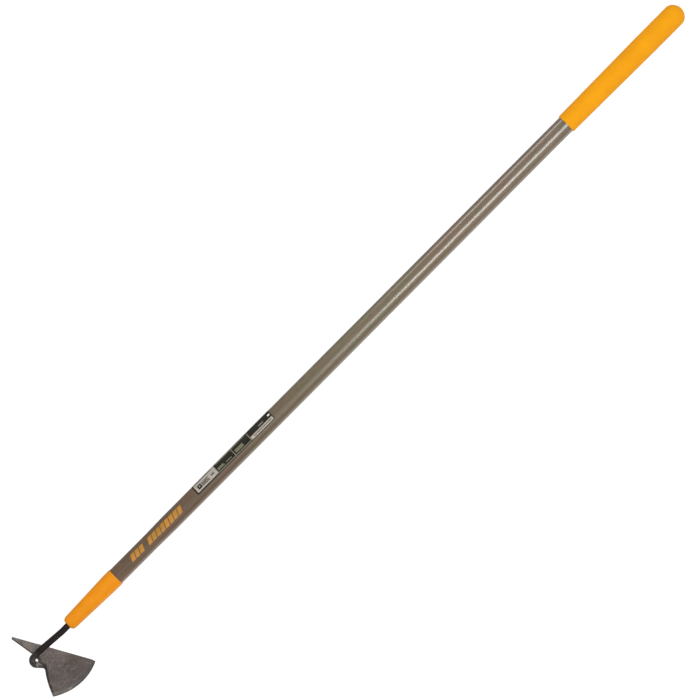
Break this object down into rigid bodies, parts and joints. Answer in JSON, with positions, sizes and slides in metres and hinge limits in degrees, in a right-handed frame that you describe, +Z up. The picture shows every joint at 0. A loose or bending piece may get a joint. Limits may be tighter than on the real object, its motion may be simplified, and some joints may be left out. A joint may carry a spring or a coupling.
{
  "type": "grub hoe",
  "caption": "Long-handled grub hoe: straight wooden handle with a domed cushion grip, a tapered ferrule, and a hooked rod neck welded to a flat blade with a fan edge and a spike.",
  "frame": {"origin": "on the surface that the hoe lies on, under the middle of its bounding box", "axes": "+X along the handle towards the grip, +Y towards the blade's spike, +Z up from the surface that the hoe lies on"},
  "size_m": [1.4766, 0.1296, 0.0439],
  "materials": {
    "blade_steel": "satin",
    "neck_steel": "satin black",
    "weld_steel": "rough",
    "ferrule_paint": "semi-gloss",
    "pin_steel": "satin",
    "handle_wood": "stained and lacquered",
    "grip_foam": "matte",
    "label_film": "printed film"
  },
  "bodies": {
    "root": {"blade": "blade_steel", "neck": "neck_steel", "weld_bead": "weld_steel", "ferrule": "ferrule_paint", "ferrule_pin": "pin_steel", "handle_shaft": "handle_wood", "cushion_grip": "grip_foam", "label": "label_film"}
  },
  "joints": []
}
